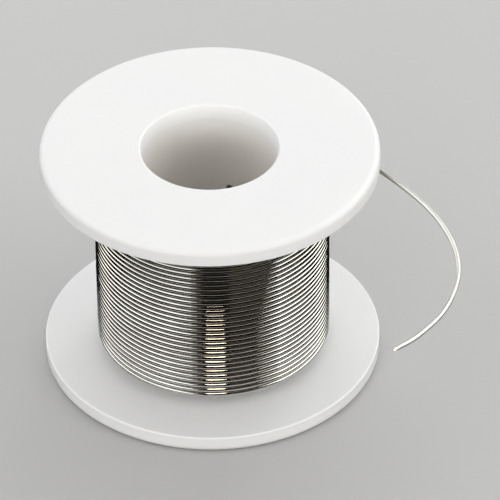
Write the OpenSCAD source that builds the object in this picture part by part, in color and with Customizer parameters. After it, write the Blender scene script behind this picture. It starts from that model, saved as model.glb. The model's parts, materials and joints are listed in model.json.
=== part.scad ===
// Spool of solder wire: a white plastic reel of two flanges pressed on a hub
// tube, wound with flux-cored wire whose free end leaves the top turn.
// Millimetres, +Z up, origin at the middle of the bottom flange's lower face.

/* [Spool] */
// Outside diameter of the two flanges
flange_d = 54; // [48:0.5:70]
// Height over both flanges
spool_h = 40.5; // [40.5:0.5:60]
// Thickness of one flange
flange_t = 2.9; // [2:0.1:2.9]
// Rounding of a flange's rim at its outer face
rim_round = 1.0; // [0.4:0.1:1.6]
// Rounding of a flange's rim at its inner face
inner_round = 0.2; // [0.1:0.1:0.3]
// Diameter of the bore through the flanges and the hub
bore_d = 22; // [16:0.5:22]
// Rounding at the mouths of the bore
mouth_round = 0.3; // [0.1:0.1:0.8]
// Outside diameter of the hub tube, on which the wire is wound
hub_d = 25; // [25:0.5:27]
// Length of the tongue at each end of the tube, pressed in a flange's groove
tongue_h = 1.6; // [1:0.1:1.7]
// Thickness of the tongue
tongue_t = 0.7; // [0.5:0.1:0.7]

/* [Solder wire] */
// Diameter of the wire
wire_d = 0.8; // [0.6:0.1:0.8]
// Diameter of the rosin flux core inside the wire
core_d = 0.3; // [0.2:0.05:0.4]
// Distance between neighbouring turns
pitch = 0.936; // [0.9:0.002:0.936]
// Distance between neighbouring layers
layer_step = 0.774; // [0.7:0.001:0.78]
// Diameter of the hole through which the wire's inner end is anchored
anchor_d = 1.2; // [1:0.1:1.5]

/* [Hidden] */

$fn = 96;

// Radii of the reel, and the height of its middle
flange_r = flange_d / 2;
bore_r = bore_d / 2;
hub_r = hub_d / 2;
tongue_r = (bore_r + hub_r - tongue_t) / 2;
mid_z = spool_h / 2;

// Full layers have 35 and 36 turns in alternation, so each nests in the one below.
// The outermost layer is one turn short of a full one at each end.
layer_count = 8;
odd_turns = 35;
even_turns = 36;
outer_turns = 34;
// Clearance between the tube and the first layer
hub_gap = 0.02;
// The web that stands for the touch between turns and makes a layer one solid
web_t = 0.3;

// The anchor hole: at the fourth turn above the middle one, near the back
anchor_turn = 21;
anchor_angle = 73.8;
start_inset = 0.2;

// The free end leaves the winding here, as an angle about the spool's axis
takeoff_angle = 49;
// How far round the last turn lies on the winding
last_turn_arc = 338;

// Route of the free end, from the winding to its cut tip
tail_route = [
    [12.03, 13.84, 35.7], [14.8, 11.42, 35.7], [17.46, 8.98, 35.7], [20.0, 6.49, 35.7],
    [22.5, 4.0, 35.7], [25.1, 1.4, 35.7], [27.5, -1.2, 35.7], [29.8, -4.0, 35.7],
    [32.0, -6.9, 35.7], [34.0, -9.9, 35.65], [35.7, -13.1, 35.65], [37.0, -16.4, 35.65],
    [38.0, -19.8, 35.6], [38.5, -23.4, 35.6], [38.5, -27.0, 35.6], [37.9, -30.5, 35.6],
    [36.8, -34.0, 35.55], [35.3, -37.2, 35.55], [33.2, -40.2, 35.55], [30.8, -42.9, 35.5],
    [27.9, -45.2, 35.5]
];
tail_sides = 8;
rings_per_span = 2;

// ---- winding geometry ----

function layer_r(i) = hub_r + hub_gap + wire_d / 2 + (i - 1) * layer_step;

function turns(i) = i == layer_count ? outer_turns : i % 2 == 1 ? odd_turns : even_turns;

// Height of turn k of layer i, counted from the lowest turn, 0
function turn_z(i, k) = mid_z + (k - (turns(i) - 1) / 2) * pitch;

// ---- swept tube along a route ----

// Catmull-Rom point at fraction t of the span from p1 to p2
function spline(p0, p1, p2, p3, t) =
    0.5 * (2 * p1 + (p2 - p0) * t + (2 * p0 - 5 * p1 + 4 * p2 - p3) * t * t
        + (3 * p1 - p0 - 3 * p2 + p3) * t * t * t);

// The route with rings_per_span points for each of its spans
function smooth(route) =
    let (last = len(route) - 1)
    [
        for (i = [0 : last - 1], j = [0 : rings_per_span - 1])
            spline(
                route[max(i - 1, 0)], route[i], route[i + 1], route[min(i + 2, last)],
                j / rings_per_span
            ),
        route[last]
    ];

function unit(v) = v / norm(v);

// One ring of a level route's tube, square to the route
function ring(path, i, r, first_dir) =
    let (
        last = len(path) - 1,
        dir = i == 0 ? first_dir : unit(path[min(i + 1, last)] - path[i - 1]),
        side = unit(cross(dir, [0, 0, 1])),
        up = cross(side, dir)
    )
    [
        for (s = [0 : tail_sides - 1])
            let (a = 360 * s / tail_sides)
            path[i] + r * (cos(a) * side + sin(a) * up)
    ];

function tube_points(path, r, first_dir) =
    [for (i = [0 : len(path) - 1]) each ring(path, i, r, first_dir)];

// Skin between rings; flip turns the faces for the wall of a hollow
function skin(count, from, flip) =
    [
        for (i = [0 : count - 2], s = [0 : tail_sides - 1])
            let (
                a = from + i * tail_sides + s,
                b = from + i * tail_sides + (s + 1) % tail_sides,
                c = b + tail_sides,
                d = a + tail_sides
            )
            each flip ? [[a, b, c], [a, c, d]] : [[a, c, b], [a, d, c]]
    ];

tail_path = smooth(tail_route);
tail_rings = len(tail_path);
// The tail starts along the last turn's tangent, so their end faces meet
takeoff_dir = [sin(takeoff_angle), -cos(takeoff_angle), 0];

module rod_along(r) {
    last = (tail_rings - 1) * tail_sides;
    polyhedron(
        points = tube_points(tail_path, r, takeoff_dir),
        faces = concat(
            skin(tail_rings, 0, false),
            [[for (s = [0 : tail_sides - 1]) s]],
            [[for (s = [tail_sides - 1 : -1 : 0]) last + s]]
        ),
        convexity = 6
    );
}

module tube_along(r_out, r_in) {
    inner = tail_rings * tail_sides;
    last = (tail_rings - 1) * tail_sides;
    start_face = [
        for (s = [0 : tail_sides - 1])
            let (n = (s + 1) % tail_sides)
            each [[s, n, inner + n], [s, inner + n, inner + s]]
    ];
    end_face = [
        for (s = [0 : tail_sides - 1])
            let (n = (s + 1) % tail_sides)
            each [
                [last + s, inner + last + n, last + n],
                [last + s, inner + last + s, inner + last + n]
            ]
    ];
    polyhedron(
        points = concat(
            tube_points(tail_path, r_out, takeoff_dir),
            tube_points(tail_path, r_in, takeoff_dir)
        ),
        faces = concat(
            skin(tail_rings, 0, false), skin(tail_rings, inner, true),
            start_face, end_face
        ),
        convexity = 8
    );
}

// ---- reel ----

// Half section of a flange that lies at z = 0 to flange_t, outer face up
module disc_section() {
    translate([bore_r, 0])
        square([mouth_round, flange_t - mouth_round]);
    translate([bore_r + mouth_round, flange_t - mouth_round])
        circle(r = mouth_round);
    translate([bore_r + mouth_round, 0])
        square([flange_r - rim_round - bore_r - mouth_round, flange_t]);
    translate([flange_r - rim_round, flange_t - rim_round])
        circle(r = rim_round);
    translate([flange_r - rim_round, inner_round])
        square([rim_round, flange_t - rim_round - inner_round]);
    translate([flange_r - rim_round, 0])
        square([rim_round - inner_round, inner_round]);
    translate([flange_r - inner_round, inner_round])
        circle(r = inner_round);
}

// The same with the groove that holds the tube's tongue
module flange_section() {
    difference() {
        disc_section();
        translate([tongue_r, -1])
            square([tongue_t, tongue_h + 1]);
    }
}

module top_flange() {
    color([0.94, 0.94, 0.93])
        translate([0, 0, spool_h - flange_t])
            rotate_extrude()
                flange_section();
}

module bottom_flange() {
    color([0.92, 0.92, 0.91])
        translate([0, 0, flange_t])
            mirror([0, 0, 1])
                rotate_extrude()
                    flange_section();
}

// Tube between the flanges, with a tongue at each end that fills the groove
module hub_tube() {
    tube_h = spool_h - 2 * flange_t;
    color([0.88, 0.88, 0.86])
        difference() {
            translate([0, 0, flange_t])
                rotate_extrude() {
                    translate([bore_r, 0])
                        square([hub_r - bore_r, tube_h]);
                    translate([tongue_r, -tongue_h])
                        square([tongue_t, tube_h + 2 * tongue_h]);
                }
            anchor_axis()
                cylinder(d = anchor_d, h = hub_r + 1);
        }
}

// ---- wire ----

// Puts its children on the anchor hole's axis, with their +Z outwards
module anchor_axis() {
    translate([0, 0, turn_z(1, anchor_turn)])
        rotate([0, 0, anchor_angle])
            rotate([0, 90, 0])
                children();
}

// Turns first to last of a layer, as rings on a thin web
module wire_layer(i, last) {
    color("silver")
        rotate_extrude() {
            for (k = [0 : last])
                translate([layer_r(i), turn_z(i, k)])
                    circle(d = wire_d);
            translate([layer_r(i) - web_t / 2, turn_z(i, 0)])
                square([web_t, last * pitch]);
        }
}

// Inner end of the wire, in the anchor hole as far as the first layer's turn
module wire_start() {
    color("silver")
        difference() {
            anchor_axis()
                translate([0, 0, bore_r + start_inset])
                    cylinder(d = wire_d, h = layer_r(1) - bore_r - start_inset);
            rotate_extrude()
                translate([layer_r(1), turn_z(1, anchor_turn)])
                    circle(d = wire_d);
            rotate_extrude()
                translate([layer_r(1) - web_t / 2, turn_z(1, anchor_turn) - wire_d])
                    square([2 * web_t, 2 * wire_d]);
        }
}

// Last turn laid on the winding; it comes away as the wire is paid out
module last_turn() {
    color("silver")
        translate([0, 0, turn_z(layer_count, outer_turns - 1)])
            rotate([0, 0, takeoff_angle])
                rotate_extrude(angle = last_turn_arc)
                    translate([layer_r(layer_count), 0])
                        circle(d = wire_d);
}

// Free end of the wire, hollow for its flux core
module wire_tail() {
    color("silver")
        tube_along(wire_d / 2, core_d / 2);
}

module flux_core() {
    color([0.85, 0.75, 0.45])
        rod_along(core_d / 2);
}

top_flange();
bottom_flange();
hub_tube();
wire_layer(1, odd_turns - 1);  // wire_layer_1
wire_layer(2, even_turns - 1);  // wire_layer_2
wire_layer(3, odd_turns - 1);  // wire_layer_3
wire_layer(4, even_turns - 1);  // wire_layer_4
wire_layer(5, odd_turns - 1);  // wire_layer_5
wire_layer(6, even_turns - 1);  // wire_layer_6
wire_layer(7, odd_turns - 1);  // wire_layer_7
wire_layer(8, outer_turns - 2);  // wire_layer_8
wire_start();
last_turn();
wire_tail();
flux_core();
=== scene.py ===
import json
import math

import bpy
import numpy as np
from mathutils import Matrix, Vector


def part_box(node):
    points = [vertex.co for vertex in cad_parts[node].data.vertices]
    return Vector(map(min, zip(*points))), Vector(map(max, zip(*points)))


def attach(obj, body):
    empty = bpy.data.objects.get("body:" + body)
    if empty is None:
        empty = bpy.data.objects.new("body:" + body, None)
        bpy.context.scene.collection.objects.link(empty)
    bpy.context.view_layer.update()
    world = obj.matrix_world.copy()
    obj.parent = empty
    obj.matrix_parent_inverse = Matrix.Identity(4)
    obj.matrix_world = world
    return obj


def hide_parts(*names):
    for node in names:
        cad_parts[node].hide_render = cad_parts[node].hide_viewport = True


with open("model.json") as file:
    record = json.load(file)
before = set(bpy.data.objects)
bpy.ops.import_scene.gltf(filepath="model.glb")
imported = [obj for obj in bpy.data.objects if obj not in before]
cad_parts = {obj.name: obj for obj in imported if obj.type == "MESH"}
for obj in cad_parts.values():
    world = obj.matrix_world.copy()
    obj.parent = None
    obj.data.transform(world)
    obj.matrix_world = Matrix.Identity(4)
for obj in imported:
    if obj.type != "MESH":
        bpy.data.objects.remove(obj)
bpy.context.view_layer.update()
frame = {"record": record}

MM = 0.001

# ---- sizes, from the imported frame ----

top_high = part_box("top_flange")[1]
base_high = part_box("bottom_flange")[1]
hub_low, hub_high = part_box("hub_tube")
turn_low, turn_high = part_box("last_turn")
start_low, start_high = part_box("wire_start")
record = frame["record"]

SPOOL_H = top_high.z
MID_Z = SPOOL_H / 2
FLANGE_R = top_high.x
FLANGE_T = base_high.z
HUB_R = hub_high.x
BORE_R = record["mounts"][0]["dims"]["r_mm"] * MM
TONGUE_H = FLANGE_T - hub_low.z
TONGUE_T = 0.7 * MM
TONGUE_INNER_R = (BORE_R + HUB_R - TONGUE_T) / 2
TONGUE_OUTER_R = TONGUE_INNER_R + TONGUE_T
RIM_ROUND = 1.0 * MM
INNER_ROUND = 0.2 * MM
MOUTH_ROUND = 0.3 * MM
# Width of the band along a sharp edge where smooth shading turns the corner
SEAM = 0.03 * MM

WIRE_D = turn_high.z - turn_low.z
WIRE_R = WIRE_D / 2
OUTER_R = turn_high.x - WIRE_R
TOP_TURN_Z = (turn_high.z + turn_low.z) / 2
PITCH = 0.936 * MM
LAYERS = 8
HUB_GAP = 0.02 * MM
FIRST_R = HUB_R + HUB_GAP + WIRE_R
LAYER_STEP = (OUTER_R - FIRST_R) / (LAYERS - 1)
ODD_TURNS, EVEN_TURNS, OUTER_TURNS = 35, 36, 34
TAKEOFF = math.radians(49)
LAST_TURN_ARC = math.radians(338)
ANCHOR_ANGLE = math.atan2(start_low.y + start_high.y, start_low.x + start_high.x)
ANCHOR_Z = (start_low.z + start_high.z) / 2
ANCHOR_R = 0.6 * MM
FLUX_R = 0.15 * MM
PINCH = 1.1 * MM

# The outermost layer lies this far to one side of the reel's axis
WINDING_SHIFT = 0.19 * MM
# Parts of a turn: the step to the next turn, the climb from the layer below, the start past the take-off
STEP_SHARE = 0.09
CLIMB_SHARE = 0.07
START_SHARE = 0.03

# The free end's route, as in the CAD model
TAIL_ROUTE = [
    (0.01203, 0.01384, 0.0357), (0.0148, 0.01142, 0.0357), (0.01746, 0.00898, 0.0357),
    (0.0200, 0.00649, 0.0357), (0.0225, 0.0040, 0.0357), (0.0251, 0.0014, 0.0357),
    (0.0275, -0.0012, 0.0357), (0.0298, -0.0040, 0.0357), (0.0320, -0.0069, 0.0357),
    (0.0340, -0.0099, 0.03565), (0.0357, -0.0131, 0.03565), (0.0370, -0.0164, 0.03565),
    (0.0380, -0.0198, 0.0356), (0.0385, -0.0234, 0.0356), (0.0385, -0.0270, 0.0356),
    (0.0379, -0.0305, 0.0356), (0.0368, -0.0340, 0.03555), (0.0353, -0.0372, 0.03555),
    (0.0332, -0.0402, 0.03555), (0.0308, -0.0429, 0.0355), (0.0279, -0.0452, 0.0355),
]


# ---- adding to the scene ----

def add_object(name, data):
    made = bpy.data.objects.new(name, data)
    bpy.context.scene.collection.objects.link(made)
    return made


def new_mesh(name, verts, faces):
    mesh = bpy.data.meshes.new(name)
    mesh.from_pydata([tuple(v) for v in verts], [], [tuple(f) for f in faces])
    return mesh


# ---- camera, looking down at the reel ----

def make_camera():
    elevation = math.radians(38.36)
    roll = math.radians(0.61)
    distance = 37.11 * FLANGE_R
    # The spool stands left of the middle of the picture, so the view is centred beside it
    aside, lower = 0.2295 * FLANGE_R, 0.0212 * FLANGE_R
    back = Vector((0, -math.cos(elevation), math.sin(elevation)))
    right = Vector((1, 0, 0))
    up = back.cross(right)
    data = bpy.data.cameras.new("camera")
    data.sensor_width = 36
    data.lens = 450.5
    data.clip_start, data.clip_end = 0.05, 20
    cam = add_object("camera", data)
    place = Vector((0, 0, MID_Z)) + back * distance + right * aside - up * lower
    rolled_right = right * math.cos(roll) - up * math.sin(roll)
    rolled_up = up * math.cos(roll) + right * math.sin(roll)
    axes = Matrix((rolled_right, rolled_up, back)).transposed()
    cam.matrix_world = Matrix.Translation(place) @ axes.to_4x4()
    bpy.context.scene.camera = cam


make_camera()


# ---- mesh helpers ----

def mesh_object(name, verts, faces, material, body, replaced):
    """A smooth-shaded piece on its body, in place of the replaced nodes."""
    mesh = new_mesh(name, verts, faces)
    mesh.polygons.foreach_set("use_smooth", [True] * len(mesh.polygons))
    mesh.validate()
    mesh.update()
    piece = add_object(name, mesh)
    mesh.materials.append(material)
    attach(piece, body)
    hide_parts(*replaced)
    return piece


def grid_faces(rows, columns, close_rows=False):
    """Quads of a grid of rows by columns points, closed round its columns."""
    last_row = rows if close_rows else rows - 1
    i, j = np.meshgrid(np.arange(last_row), np.arange(columns), indexing="ij")
    i, j = i.ravel(), j.ravel()
    i2, j2 = (i + 1) % rows, (j + 1) % columns
    return np.stack([i * columns + j, i2 * columns + j, i2 * columns + j2, i * columns + j2], 1)


def revolve(profile, segments, wobble=None):
    """Points and quads of a closed (radius, height) outline turned about Z."""
    profile = np.array(profile)
    angles = np.linspace(0, 2 * math.pi, segments, endpoint=False)
    r, a = np.meshgrid(profile[:, 0], angles)
    z = np.broadcast_to(profile[:, 1], r.shape).copy()
    if wobble is not None:
        z += wobble(r, a)
    verts = np.stack([r * np.cos(a), r * np.sin(a), z], -1).reshape(-1, 3)
    return verts, grid_faces(segments, len(profile), close_rows=True)


def sweep(path, radius, sides, flat=None):
    """Points and faces of a capped tube along path; flat gives (wide, thick) factors per ring."""
    path = np.array(path, float)
    rings = len(path)
    tangent = np.gradient(path, axis=0)
    tangent /= np.linalg.norm(tangent, axis=1)[:, None]
    side = np.cross(tangent, (0, 0, 1))
    side /= np.linalg.norm(side, axis=1)[:, None]
    up = np.cross(side, tangent)
    a = np.linspace(0, 2 * math.pi, sides, endpoint=False)
    wide = np.ones(rings) if flat is None else flat[:, 0]
    thick = np.ones(rings) if flat is None else flat[:, 1]
    verts = (
        path[:, None]
        + radius * wide[:, None, None] * np.cos(a)[None, :, None] * side[:, None]
        + radius * thick[:, None, None] * np.sin(a)[None, :, None] * up[:, None]
    ).reshape(-1, 3)
    faces = [tuple(f) for f in grid_faces(rings, sides)[:, ::-1]]
    faces.append(tuple(range(sides)))
    faces.append(tuple(reversed(range((rings - 1) * sides, rings * sides))))
    return verts, faces


def arc(centre, radius, start, end, steps):
    """Points of a round corner of an outline, angles in degrees."""
    return [
        (
            centre[0] + radius * math.cos(math.radians(start + (end - start) * k / steps)),
            centre[1] + radius * math.sin(math.radians(start + (end - start) * k / steps)),
        )
        for k in range(steps + 1)
    ]


# ---- material helpers ----

class Nodes:
    """A short way to build a node tree: each call adds one node and returns its output."""

    def __init__(self, name):
        self.material = bpy.data.materials.new(name)
        self.material.use_nodes = True
        self.tree = self.material.node_tree
        self.shader = self.tree.nodes["Principled BSDF"]

    def add(self, kind, inputs=(), output=0, **settings):
        node = self.tree.nodes.new(kind)
        for key, value in settings.items():
            setattr(node, key, value)
        for key, value in dict(inputs).items():
            self.feed(node.inputs[key], value)
        return node.outputs[output]

    def feed(self, socket, value):
        if isinstance(value, bpy.types.NodeSocket):
            self.tree.links.new(value, socket)
        else:
            socket.default_value = value

    def set(self, **inputs):
        for key, value in inputs.items():
            self.feed(self.shader.inputs[key.replace("_", " ")], value)

    def math(self, operation, a, b=0.0):
        return self.add("ShaderNodeMath", {0: a, 1: b}, operation=operation)

    def split(self, vector):
        """The x, y and z outputs of a vector."""
        return self.add("ShaderNodeSeparateXYZ", {0: vector}).node.outputs

    def ramp(self, value, low, high, to_low=0.0, to_high=1.0):
        return self.add(
            "ShaderNodeMapRange",
            {"Value": value, "From Min": low, "From Max": high, "To Min": to_low, "To Max": to_high},
        )

    def noise(self, vector, scale, detail=2.0, roughness=0.5):
        inputs = {"Vector": vector, "Scale": scale, "Detail": detail, "Roughness": roughness}
        return self.add("ShaderNodeTexNoise", inputs)

    def mix(self, factor, a, b):
        return self.add("ShaderNodeMix", {0: factor, 6: a, 7: b}, output=2, data_type="RGBA")

    def bump(self, height, strength, distance, normal=None):
        inputs = {"Height": height, "Strength": strength, "Distance": distance}
        if normal is not None:
            inputs["Normal"] = normal
        return self.add("ShaderNodeBump", inputs)

    def place(self):
        return self.add("ShaderNodeTexCoord", output="Object")


def plastic_material(name, light, shade, glow, reach, deep_tone_and_shade=None):
    """Natural white moulded plastic: a fine satin skin that lets a little light through.

    light and shade are its cloudy colours, glow the share of light that scatters inside
    and reach how far. More glow draws a dark line in the bore, where two solids meet.
    The last argument is a colour for the middle of the tube, away from the flanges:
    partly a thin wall with dark metal wound behind it, partly painted shade far down the bore.
    """
    n = Nodes(name)
    place = n.place()
    cloud = n.noise(place, 60, 3.0)
    grain = n.noise(place, 2600, 3.0, 0.6)
    flow = n.noise(place, 240, 2.0)
    scratch_space = n.add("ShaderNodeMapping", {"Vector": place, "Scale": (900, 90, 400)})
    scratch = n.noise(scratch_space, 1.0, 4.0, 0.7)
    colour = n.mix(n.ramp(cloud, 0.35, 0.65), light, shade)
    if deep_tone_and_shade is not None:
        # Painted shade: towards the middle of the tube, far down the bore where little light reaches, the hub
        # turns to the darker colour
        height = n.split(place)[2]
        from_middle = n.math("ABSOLUTE", n.math("SUBTRACT", height, MID_Z))
        ends = MID_Z - FLANGE_T
        fade = 4 * MM
        colour = n.mix(n.ramp(from_middle, ends - fade, ends, 1.0, 0.0), colour, deep_tone_and_shade)
    satin = n.ramp(scratch, 0.45, 0.75, 0.52, 0.64)
    n.set(
        Base_Color=colour,
        Roughness=n.math("ADD", satin, n.ramp(cloud, 0.3, 0.7, -0.03, 0.03)),
        Normal=n.bump(grain, 0.10, 0.00006, n.bump(flow, 0.25, 0.00012)),
        Subsurface_Weight=glow,
        Subsurface_Radius=(1.0, 0.95, 0.85),
        Subsurface_Scale=reach,
        IOR=1.49,
    )
    return n.material


def solder_material(name, wound, satin, bright, dull, metal=1.0):
    """Bright drawn solder: lines along the wire, a thin uneven tarnish.

    wound is for wire that lies round the reel, satin its lowest roughness, bright and
    dull the colours of clean and tarnished metal, metal how metallic it is.
    """
    n = Nodes(name)
    place = n.place()
    if wound:
        x, y, z = n.split(place)
        # Round the winding, with the join of the pattern at the back
        angle = n.math("ARCTAN2", x, n.math("MULTIPLY", y, -1.0))
        radius = n.math("SQRT", n.math("ADD", n.math("MULTIPLY", x, x), n.math("MULTIPLY", y, y)))
        along = n.math("MULTIPLY", angle, OUTER_R)
        lines = n.add("ShaderNodeCombineXYZ", {0: n.math("MULTIPLY", along, 0.02), 1: radius, 2: z})
        patches = n.add("ShaderNodeCombineXYZ", {0: n.math("MULTIPLY", along, 0.12), 1: radius, 2: z})
    else:
        lines = n.add("ShaderNodeMapping", {"Vector": place, "Scale": (0.1, 0.1, 1.0)})
        patches = n.add("ShaderNodeMapping", {"Vector": place, "Scale": (0.3, 0.3, 1.0)})
    draw = n.noise(lines, 9000, 3.0, 0.6)
    tarnish = n.noise(patches, 900, 3.0, 0.6)
    cloud = n.noise(place, 110, 2.0)
    age = n.math("MULTIPLY", n.ramp(tarnish, 0.42, 0.72), n.ramp(cloud, 0.3, 0.7, 0.3, 1.0))
    drawn = n.ramp(draw, 0.3, 0.7, satin, satin + 0.04)
    n.set(
        Base_Color=n.mix(age, bright, dull),
        Metallic=metal,
        Roughness=n.math("ADD", drawn, n.math("MULTIPLY", age, 0.04)),
        Normal=n.bump(draw, 0.06, 0.00001),
    )
    return n.material


def flux_material():
    """Amber rosin, a little cloudy."""
    n = Nodes("rosin")
    place = n.place()
    n.set(
        Base_Color=n.mix(n.noise(place, 4000, 2.0), (0.72, 0.46, 0.12, 1), (0.85, 0.66, 0.30, 1)),
        Roughness=n.ramp(n.noise(place, 9000, 2.0), 0.3, 0.7, 0.15, 0.35),
        Subsurface_Weight=0.3,
        Subsurface_Scale=0.0004,
    )
    return n.material


GLOW, REACH = 0.12, 1 * MM
flange_plastic = plastic_material(
    "flange_plastic", (0.91, 0.91, 0.905, 1), (0.89, 0.895, 0.90, 1), GLOW, REACH
)
# The hub is a darker copy of the flange plastic: partly the grey of a thin wall over dark wire, partly painted
# shade of the bore
hub_plastic = plastic_material(
    "hub_plastic", (0.88, 0.873, 0.86, 1), (0.865, 0.86, 0.845, 1), GLOW, REACH,
    deep_tone_and_shade=(0.845, 0.82, 0.78, 1),
)
solder = solder_material("solder", True, 0.04, (0.66, 0.655, 0.635, 1), (0.48, 0.45, 0.41, 1))
# The free end is a lighter, partly matt copy of the wound solder: painted brightness that stands in for the
# room's light that the real end reflects
painted_bright_solder_tail = solder_material(
    "painted_bright_solder_tail", False, 0.38, (0.90, 0.895, 0.88, 1), (0.78, 0.765, 0.74, 1), metal=0.72
)
rosin = flux_material()


# ---- free end of the wire ----

def smooth_route(route, per_span):
    """Catmull-Rom points through the route."""
    points = []
    last = len(route) - 1
    route = [np.array(p) for p in route]
    for i in range(last):
        p0, p1, p2, p3 = route[max(i - 1, 0)], route[i], route[i + 1], route[min(i + 2, last)]
        for j in range(per_span):
            t = j / per_span
            points.append(
                0.5 * (2 * p1 + (p2 - p0) * t + (2 * p0 - 5 * p1 + 4 * p2 - p3) * t**2
                       + (3 * p1 - p0 - 3 * p2 + p3) * t**3)
            )
    points.append(route[last])
    return np.array(points)


def pinch_along(path):
    """How far the cutters pinched the wire to a wedge at each point: 0 for round, 1 at the tip."""
    run = np.r_[0, np.cumsum(np.linalg.norm(np.diff(path, axis=0), axis=1))]
    left = run[-1] - run
    return np.clip(1 - left / PINCH, 0, 1) ** 1.3


def make_free_end():
    path = smooth_route(TAIL_ROUTE, 8)
    pinch = pinch_along(path)
    flat = np.stack([1 + 0.12 * pinch - 0.15 * pinch**4, 1 - 0.78 * pinch], 1)
    verts, faces = sweep(path, WIRE_R, 16, flat)
    tail = mesh_object("free_end_wire", verts, faces, painted_bright_solder_tail, "free_end", ["wire_tail"])
    # The flux stands a hair proud of the cut
    proud = 0.01 * MM
    ahead = (path[-1] - path[-2]) / np.linalg.norm(path[-1] - path[-2])
    core_path = np.vstack([path[-12:-1], path[-1] + ahead * proud])
    core_pinch = pinch_along(core_path)
    core_flat = np.stack([1 + 0.3 * core_pinch, 1 - 0.75 * core_pinch], 1)
    verts, faces = sweep(core_path, FLUX_R, 10, core_flat)
    core = mesh_object("flux_in_free_end", verts, faces, rosin, "free_end", ["flux_core"])


make_free_end()


# ---- reel ----

def flange_outline():
    """Outline of the flange's section, its inner face at height 0 and its outer face up."""
    def flat(r0, r1, z, steps):
        return [(r0 + (r1 - r0) * k / steps, z) for k in range(1, steps)]

    rim = (FLANGE_R - RIM_ROUND, FLANGE_T - RIM_ROUND)
    inner = (FLANGE_R - INNER_ROUND, INNER_ROUND)
    mouth = (BORE_R + MOUTH_ROUND, FLANGE_T - MOUTH_ROUND)
    edge = 0.15 * MM
    points = [(BORE_R, 0), (BORE_R, SEAM), (BORE_R, FLANGE_T / 2), (BORE_R, mouth[1] - edge)]
    points += arc(mouth, MOUTH_ROUND, 180, 90, 5)
    points += [(mouth[0] + edge, FLANGE_T)]
    points += flat(mouth[0] + edge, rim[0] - edge, FLANGE_T, 10)
    points += [(rim[0] - edge, FLANGE_T)]
    points += arc(rim, RIM_ROUND, 90, 0, 10)
    points += [(FLANGE_R, rim[1] - edge), (FLANGE_R, inner[1] + edge)]
    points += arc(inner, INNER_ROUND, 0, -90, 4)
    points += [(inner[0] - edge, 0)]
    points += flat(inner[0] - edge, HUB_R + edge, 0, 10)
    # The groove that takes the hub tube's tongue
    outer, inside = TONGUE_OUTER_R, TONGUE_INNER_R
    points += [(HUB_R, 0), (outer + SEAM, 0), (outer, 0), (outer, SEAM), (outer, TONGUE_H)]
    points += [(inside, TONGUE_H), (inside, SEAM), (inside, 0), (BORE_R + SEAM, 0)]
    return points


def make_flange(name, turned_over):
    dip = 0.03 * MM
    low_side = 0.6 if turned_over else 2.1

    def sag(r, a):
        # A moulded disc is never quite flat; it dips towards the winding
        share = np.clip((r - HUB_R) / (FLANGE_R - HUB_R), 0, 1) ** 2
        return -share * dip * (0.5 + 0.5 * np.sin(2 * a + low_side))

    verts, faces = revolve(flange_outline(), 256, sag)
    if turned_over:
        verts[:, 2] = FLANGE_T - verts[:, 2]
        faces = faces[:, ::-1]
    else:
        verts[:, 2] += SPOOL_H - FLANGE_T
    mesh_object(name + "_moulded", verts, faces, flange_plastic, "spool", [name])


def anchor_point(radius, turn=0.0):
    a = ANCHOR_ANGLE + turn
    return (radius * math.cos(a), radius * math.sin(a), ANCHOR_Z)


def make_hub():
    low, high = hub_low.z, hub_high.z
    foot, head = FLANGE_T, SPOOL_H - FLANGE_T
    outer, inside = TONGUE_OUTER_R, TONGUE_INNER_R
    points = [(BORE_R, head), (BORE_R, head - SEAM)]
    points += [(BORE_R, head + (foot - head) * k / 16) for k in range(1, 16)]
    points += [(BORE_R, foot + SEAM), (BORE_R, foot), (BORE_R + SEAM, foot)]
    points += [(inside, foot), (inside, low), (outer, low), (outer, foot)]
    points += [(HUB_R - SEAM, foot), (HUB_R, foot), (HUB_R, foot + SEAM)]
    points += [(HUB_R, head - SEAM), (HUB_R, head), (HUB_R - SEAM, head)]
    points += [(outer, head), (outer, high), (inside, high), (inside, head), (BORE_R + SEAM, head)]
    verts, faces = revolve(points, 256)
    faces = faces[:, ::-1]
    hub = mesh_object("hub_tube_moulded", verts, faces, hub_plastic, "spool", ["hub_tube"])
    past = 1 * MM
    radii = [BORE_R - past, (BORE_R + HUB_R) / 2, HUB_R + past]
    drill_verts, drill_faces = sweep([anchor_point(r) for r in radii], ANCHOR_R, 32)
    drill = add_object("anchor_drill", new_mesh("anchor_drill", drill_verts, drill_faces))
    cut = hub.modifiers.new("anchor_hole", "BOOLEAN")
    cut.operation, cut.object, cut.solver = "DIFFERENCE", drill, "EXACT"
    bake_modifiers(hub)
    bpy.data.objects.remove(drill)


def bake_modifiers(piece):
    """Applies the piece's modifiers to its mesh."""
    graph = bpy.context.evaluated_depsgraph_get()
    graph.update()
    made = bpy.data.meshes.new_from_object(piece.evaluated_get(graph))
    old = piece.data
    piece.modifiers.clear()
    piece.data = made
    bpy.data.meshes.remove(old)


make_flange("top_flange", turned_over=False)
make_flange("bottom_flange", turned_over=True)
make_hub()


# ---- winding ----

def layer_radius(i):
    return FIRST_R + (i - 1) * LAYER_STEP


def layer_turns(i):
    if i == LAYERS:
        return OUTER_TURNS
    return ODD_TURNS if i % 2 else EVEN_TURNS


def turn_height(i, k):
    return MID_Z + (k - (layer_turns(i) - 1) / 2) * PITCH


def ease(t):
    """Goes from 0 to 1 with a level start and end."""
    return t * t * (3 - 2 * t)


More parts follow.
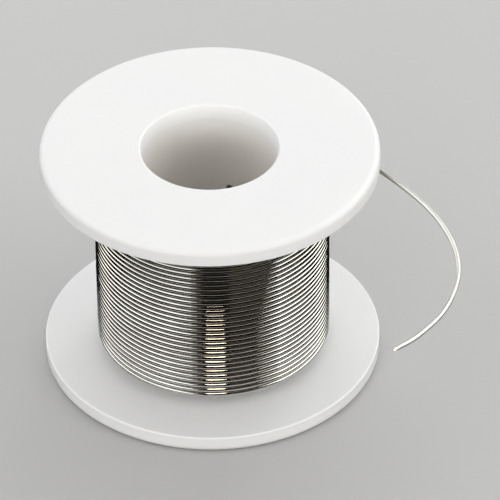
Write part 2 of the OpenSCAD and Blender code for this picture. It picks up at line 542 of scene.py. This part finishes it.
def wound_path(i, turns, per_turn, rng):
    """Centreline of a layer: level turns, each stepping to the next over a short stretch at the back."""
    count = turns * per_turn + 1
    turn = np.arange(count) / per_turn
    whole = np.minimum(np.floor(turn), turns - 1)
    part = turn - whole
    rise = ease(np.clip((part - (1 - STEP_SHARE)) / STEP_SHARE, 0, 1))
    rise[whole == turns - 1] = 0
    z = turn_height(i, 0) + (whole + rise) * PITCH
    # Hand-guided winding is a little uneven
    wave = np.zeros(count)
    lift = np.zeros(count)
    for order in range(1, 5):
        phase = rng.uniform(0, 2 * math.pi, (2, turns))[:, whole.astype(int)]
        size = rng.normal(0, 0.010 * MM / order, (2, turns))[:, whole.astype(int)]
        fade = np.sin(math.pi * part) ** 0.5
        wave += size[0] * np.sin(2 * math.pi * order * part + phase[0]) * fade
        lift += size[1] * np.sin(2 * math.pi * order * part + phase[1]) * fade
    angle = TAKEOFF + 2 * math.pi * (START_SHARE + turn)
    if i % 2:
        angle = -angle + 2 * TAKEOFF
    # It lies a little to one side of the reel's axis, but not beside the loose last turn
    clear = TOP_TURN_Z - 1.5 * MM
    aside = WINDING_SHIFT * (i / LAYERS) * np.clip((clear - z) / (2 * MM), 0, 1)
    # The wire climbs up from the layer below at its first stretch
    below = LAYER_STEP * (1 - ease(np.clip(turn / CLIMB_SHARE, 0, 1))) if i > 1 else 0
    r = layer_radius(i) - below + lift + aside * np.cos(angle)
    return np.stack([r * np.cos(angle), r * np.sin(angle), z + wave], 1)


def make_winding():
    rng = np.random.default_rng(7)
    for i in range(1, LAYERS + 1):
        turns = layer_turns(i) - (1 if i == LAYERS else 0)
        # Only the outermost layer shows all over, and the ends of the one inside it
        per_turn, sides = {LAYERS: (176, 16), LAYERS - 1: (96, 10)}.get(i, (48, 6))
        path = wound_path(i, turns, per_turn, rng)
        verts, faces = sweep(path, WIRE_R, sides)
        node = f"wire_layer_{i}"
        mesh_object(f"wound_layer_{i}", verts, faces, solder, "spool", [node])


def make_last_turn():
    angle = TAKEOFF + np.linspace(0, LAST_TURN_ARC, 241)
    level = np.full(len(angle), TOP_TURN_Z)
    path = np.stack([OUTER_R * np.cos(angle), OUTER_R * np.sin(angle), level], 1)
    verts, faces = sweep(path, WIRE_R, 16)
    mesh_object("last_turn_wire", verts, faces, solder, "free_end", ["last_turn"])


def make_wire_start():
    """The wire's inner end: a cut stub that stands in the anchor hole."""
    first = layer_radius(1)
    radii = [BORE_R + 0.15 * MM, BORE_R + 0.2 * MM, BORE_R + 0.35 * MM, BORE_R + 0.9 * MM, first]
    # Bent a little, so that it is not dead straight
    bend = 0.006
    path = [anchor_point(r, bend * math.sin(r / MM)) for r in radii]
    flat = np.array([(0.55, 0.35), (0.85, 0.7), (1, 0.95), (1, 1), (1, 1)])
    verts, faces = sweep(path, WIRE_R, 16, flat)
    mesh_object("wire_start_stub", verts, faces, solder, "spool", ["wire_start"])


make_winding()
make_last_turn()
make_wire_start()


# ---- floor and light ----

def make_floor():
    n = Nodes("floor")
    n.set(Base_Color=(0.55, 0.55, 0.55, 1), Roughness=0.8)
    half = 6.0
    corners = [(-half, -half, 0), (half, -half, 0), (half, half, 0), (-half, half, 0)]
    mesh = new_mesh("floor", corners, [(0, 1, 2, 3)])
    mesh.materials.append(n.material)
    floor = add_object("floor", mesh)
    # Just under the reel, so that the two faces do not share a plane
    floor.location.z = -0.02 * MM
    # In the photo the reel stands on black, so this pale floor is kept out of
    # the metal's reflections and throws no light back at the reel
    floor.visible_glossy = False
    floor.visible_diffuse = False


def make_light(name, centre, target, width, height, radiance, colour, shows_in):
    """A soft box, either seen in the metal or lighting the plastic, as shows_in says."""
    data = bpy.data.lights.new(name, "AREA")
    data.shape = "RECTANGLE"
    data.size, data.size_y = width, height
    data.energy = radiance * math.pi * width * height
    data.color = colour
    light = add_object(name, data)
    light.location = centre
    light.rotation_euler = (Vector(target) - Vector(centre)).to_track_quat("-Z", "Y").to_euler()
    light.visible_glossy = shows_in != "plastic"
    light.visible_diffuse = shows_in != "metal"


def make_room():
    """A nearly black room round the lights."""
    world = bpy.data.worlds.new("room")
    bpy.context.scene.world = world
    world.use_nodes = True
    walls = world.node_tree.nodes["Background"]
    walls.inputs["Color"].default_value = (0.010, 0.008, 0.005, 1)
    walls.inputs["Strength"].default_value = 1.0


def make_lights():
    middle = (0, 0, MID_Z)
    white = (1, 1, 1)
    # Tall white box along the left side, from the front to well behind, and its fading front edge
    make_light("left_box", (-0.42, -0.24, 0.51), (0, -0.24, 0.51), 1.96, 0.74, 1.85, (1.0, 1.0, 0.97), "metal")
    make_light("left_edge", (-0.32, -1.05, 0.49), (0, 0, 0.49), 0.077, 0.66, 1.00, (1.0, 0.94, 0.86), "metal")
    make_light("left_haze", (-0.24, -1.08, 0.42), (0, 0, 0.42), 0.094, 0.50, 0.26, (1.0, 0.88, 0.76), "metal")
    # Tall, slightly yellow box along the right side and well behind
    make_light("right_box", (0.50, 0.63, 0.64), (0, 0.63, 0.64), 1.82, 0.96, 2.60, (1.0, 1.0, 0.93), "metal")
    # Dim brown side of the room, to the right of the camera
    make_light("brown_side", (0.344, -0.491, 0.27), (0, 0, 0.27), 0.44, 0.50, 0.10, (1.0, 0.86, 0.62), "metal")
    # Small warm lamp high in front
    make_light("high_lamp", (0.009, -0.18, 0.63), middle, 0.126, 0.36, 12.0, (1.0, 0.82, 0.62), "metal")
    # Wide soft fills all round, which light the plastic and the floor; no two lights share a plane
    make_light("left_fill", (-0.50, -0.24, 0.45), (0, -0.24, 0.45), 2.10, 1.00, 1.05, white, "plastic")
    make_light("right_fill", (0.58, 0.63, 0.57), (0, 0.63, 0.57), 2.00, 1.25, 1.32, white, "plastic")
    make_light("front_fill", (-0.15, -0.90, 0.24), middle, 0.90, 0.40, 3.9, (1.0, 0.985, 0.96), "plastic")
    make_light("front_right_fill", (0.65, -0.65, 0.30), middle, 0.70, 0.50, 2.6, (1.0, 0.985, 0.96), "plastic")
    make_light("back_fill", (0, 0.90, 0.60), middle, 1.20, 0.70, 3.0, (0.98, 0.99, 1.0), "plastic")


make_floor()
make_room()
make_lights()
bpy.context.scene.view_settings.view_transform = "Standard"
